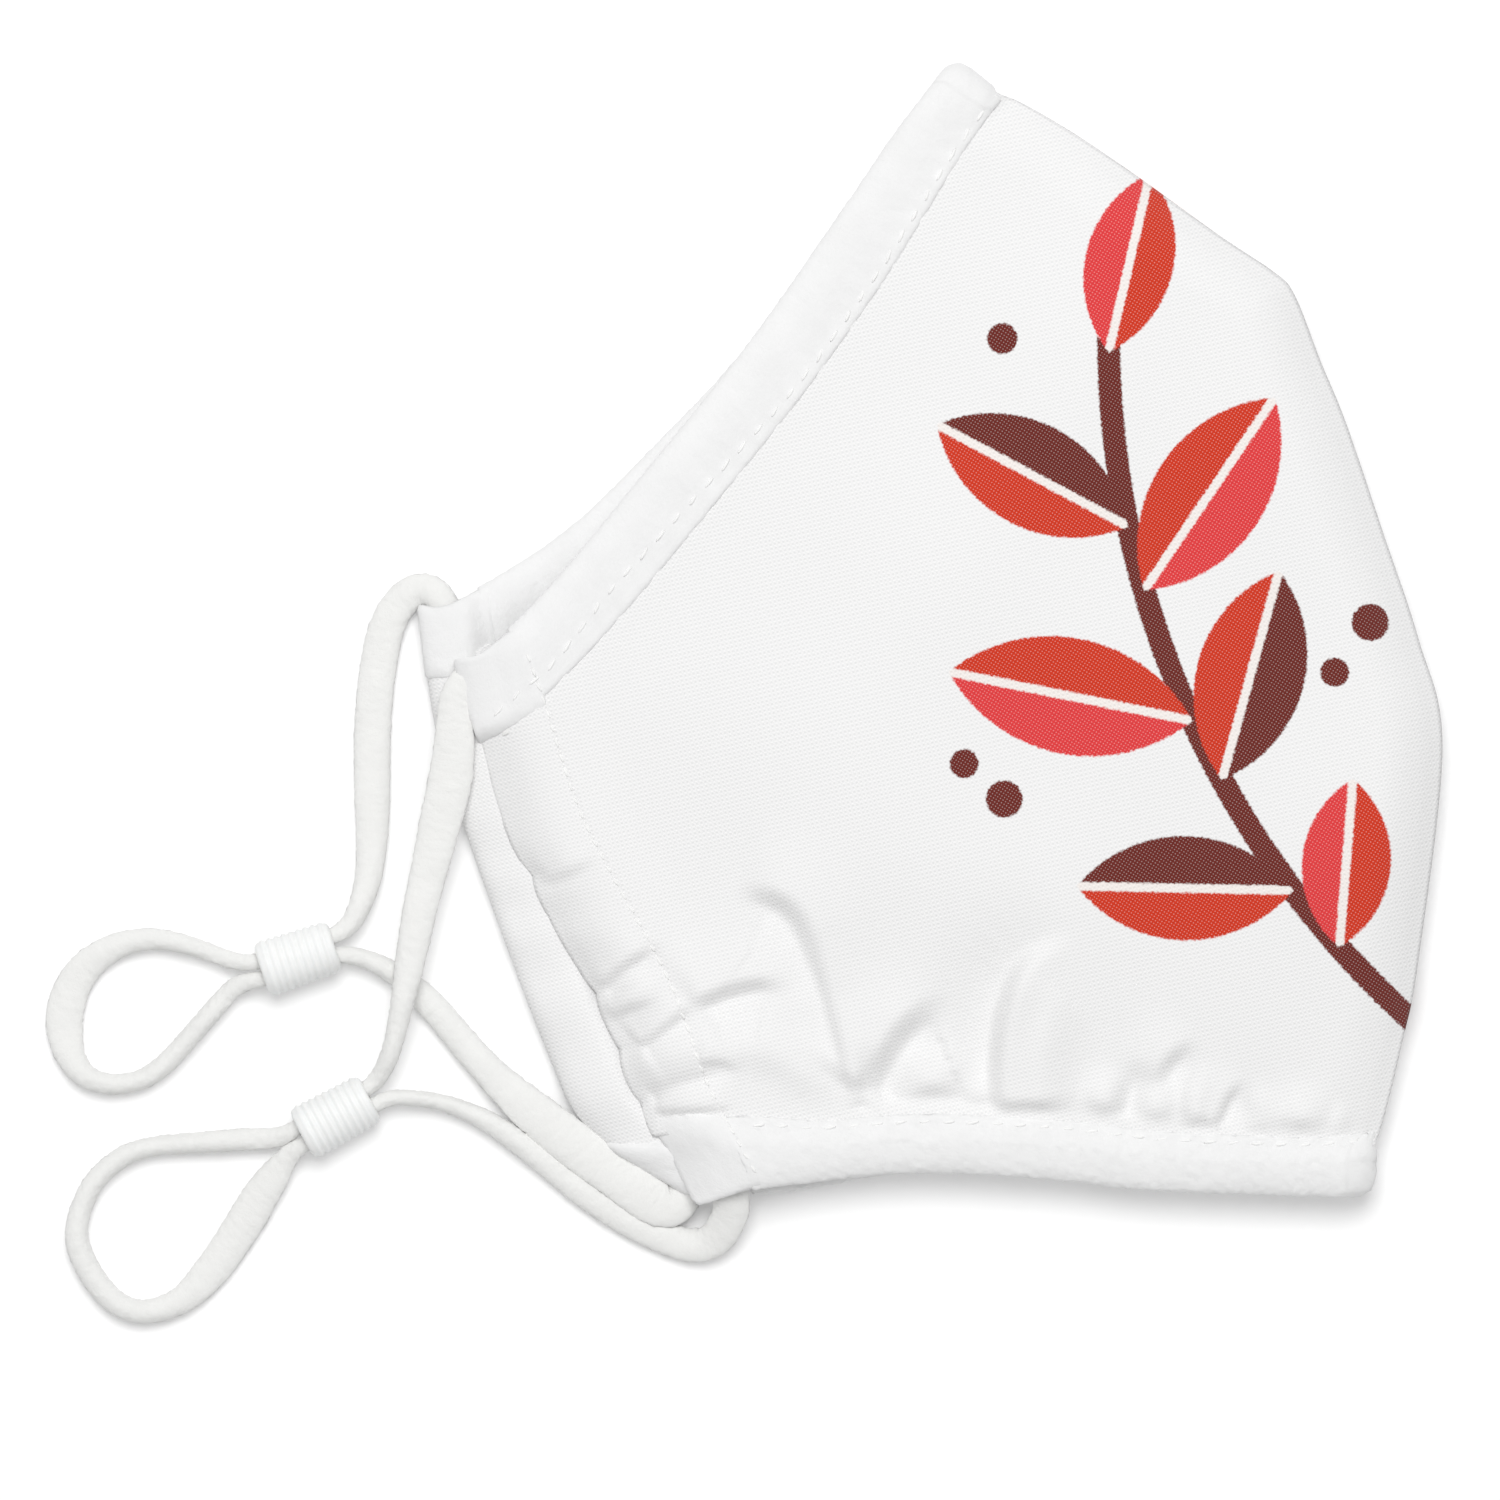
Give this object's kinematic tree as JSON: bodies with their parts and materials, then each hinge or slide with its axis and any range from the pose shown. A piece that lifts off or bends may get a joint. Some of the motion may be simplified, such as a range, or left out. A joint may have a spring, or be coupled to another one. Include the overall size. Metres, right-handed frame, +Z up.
{
  "type": "cloth face mask",
  "caption": "Reusable cloth face mask folded flat along its front seam, with sewn hems, a gathered lower edge, a nose wire and elastic ear loops with sliding adjusters.",
  "frame": {"origin": "on the table under the middle of the folded mask, ear cords and adjusters left out", "axes": "+Y from chin to nose as the mask lies, +X from the ears to the front seam, +Z up from the table"},
  "size_m": [0.1743, 0.1577, 0.0109],
  "materials": {
    "outer_cloth": "woven, matte, printed towards the front",
    "lining_cloth": "soft brushed knit",
    "brushed_strip": "brushed stretch strip",
    "elastic": "fuzzy knitted elastic",
    "silicone": "satin silicone",
    "wire": "soft aluminium strip"
  },
  "bodies": {
    "left_half": {"left_outer_panel": "outer_cloth", "left_lining": "lining_cloth", "left_top_hem": "brushed_strip", "left_bottom_binding": "brushed_strip", "left_ear_casing": "outer_cloth", "left_ear_cord": "elastic", "right_outer_ridge": "outer_cloth", "right_lining_ridge": "lining_cloth", "nose_wire": "wire"},
    "right_half": {"right_outer_cheek": "outer_cloth", "right_lining_cheek": "lining_cloth", "right_top_hem": "brushed_strip", "right_bottom_binding": "brushed_strip", "right_ear_casing": "outer_cloth", "right_ear_cord": "elastic"},
    "left_adjuster": {"left_cord_adjuster": "silicone"},
    "right_adjuster": {"right_cord_adjuster": "silicone"}
  },
  "joints": [
    {"name": "mask_open", "type": "hinge", "parent": "left_half", "child": "right_half", "pos_m": [0.03526, 0.00217, 0.0116], "axis": [-0.3405, 0.9403, 0], "range_deg": [0, 90], "deforming": ["nose_wire"]},
    {"name": "left_adjuster_slide", "type": "slide", "parent": "left_half", "child": "left_adjuster", "axis": [0.9588, 0.284, 0], "range_m": [-0.01, 0.005], "deforming": ["left_ear_cord"]},
    {"name": "right_adjuster_slide", "type": "slide", "parent": "right_half", "child": "right_adjuster", "axis": [0.8695, 0.4939, 0], "range_m": [-0.01, 0.005], "deforming": ["right_ear_cord"]}
  ]
}
